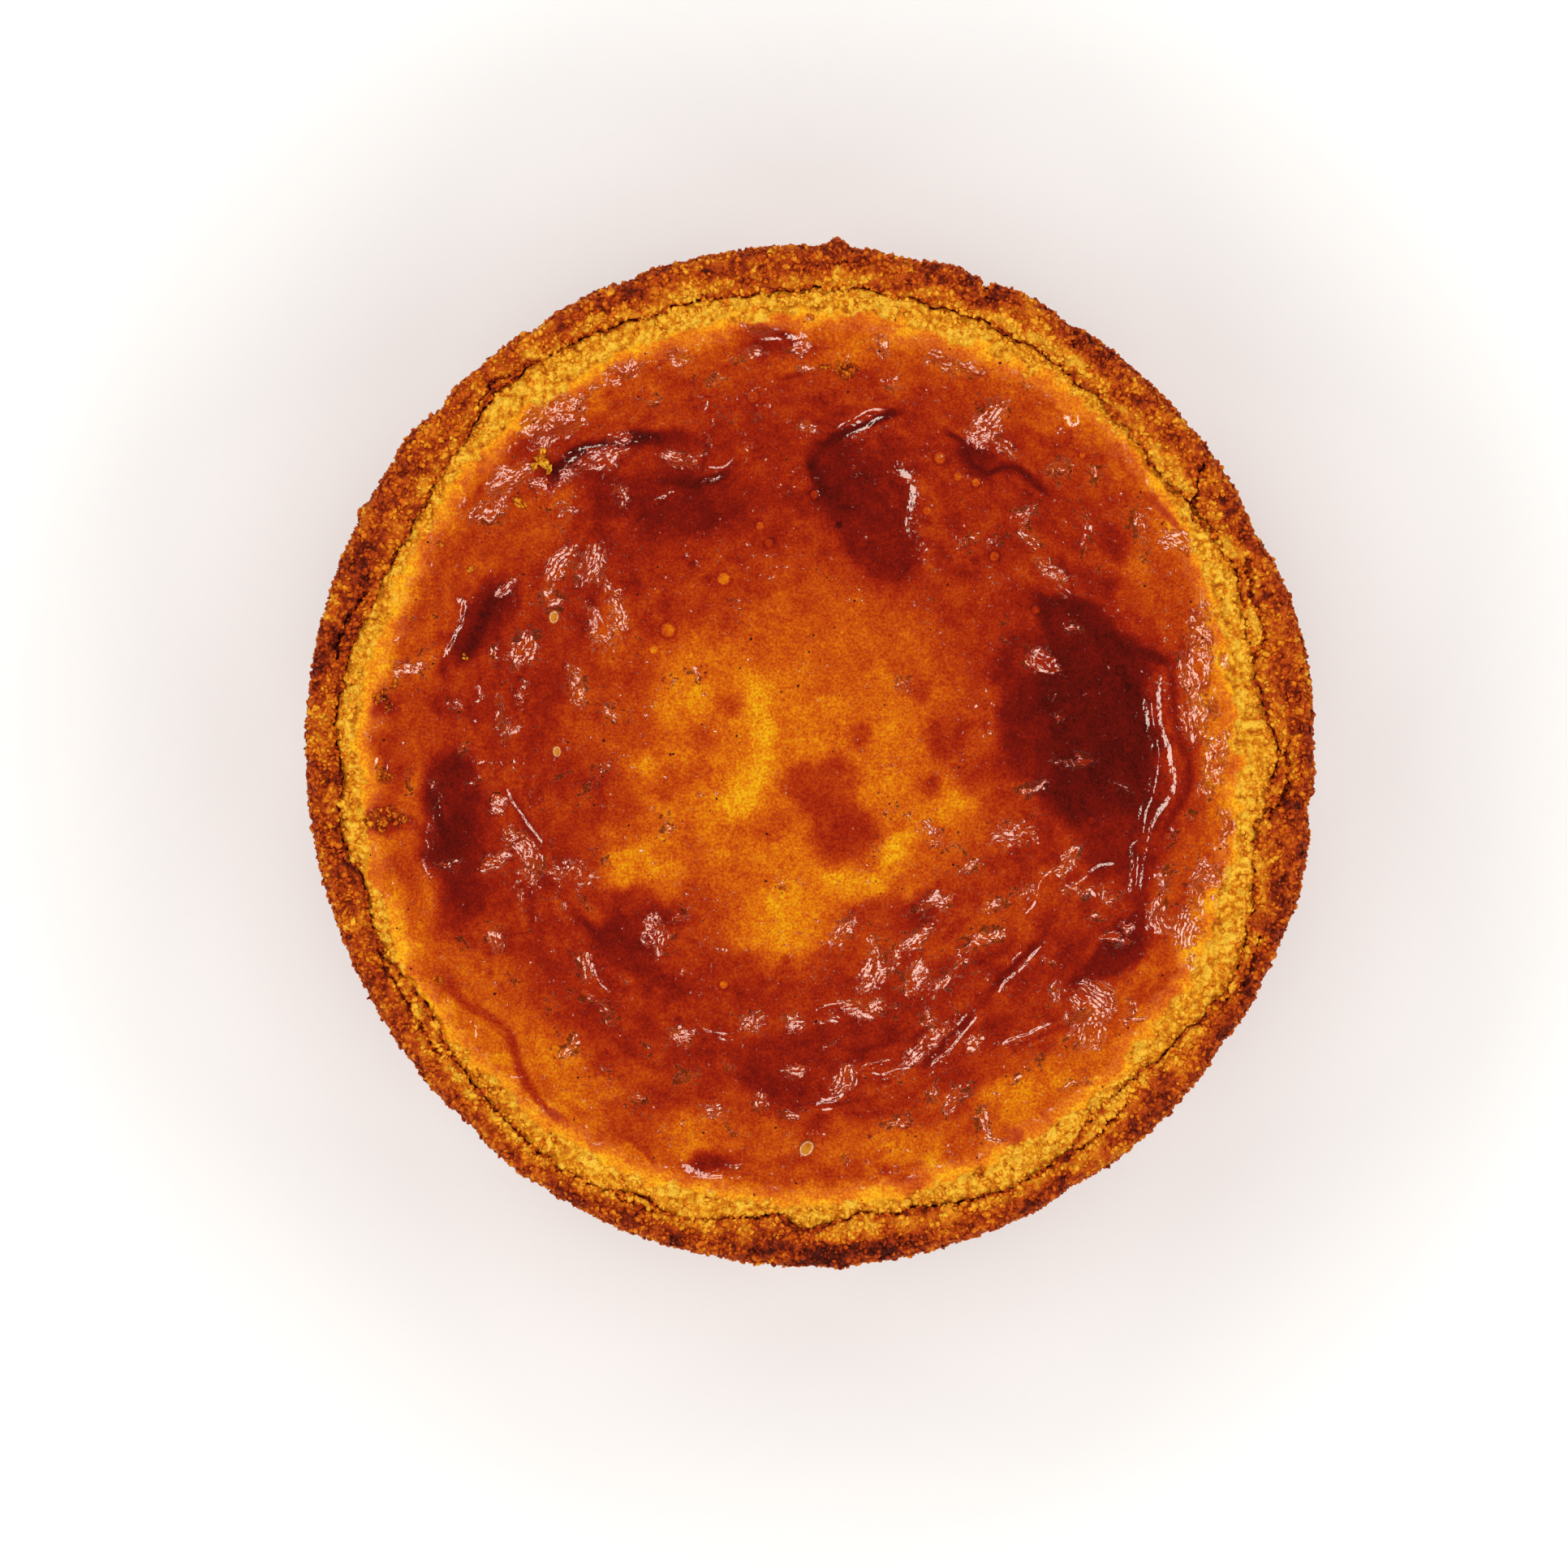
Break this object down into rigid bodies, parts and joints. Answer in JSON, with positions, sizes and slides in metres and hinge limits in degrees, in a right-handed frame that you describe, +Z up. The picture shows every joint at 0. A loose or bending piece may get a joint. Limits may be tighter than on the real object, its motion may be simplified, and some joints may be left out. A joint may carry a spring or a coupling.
{
  "type": "parisian flan",
  "caption": "Individual baked custard flan: straight-sided sandy shortcrust case filled with custard under a glossy, scorched and wrinkled skin.",
  "frame": {"origin": "on the flat base, under the middle of the flan", "axes": "+Z up through the flan, +X to the right and +Y to the top of the picture, which looks straight down"},
  "size_m": [0.0997, 0.1013, 0.0383],
  "materials": {
    "pastry": "dry sandy shortcrust, baked brown",
    "custard": "glossy baked custard skin, orange with dark red-brown scorched pools"
  },
  "bodies": {
    "root": {"crust": "pastry", "custard": "custard"}
  },
  "joints": []
}
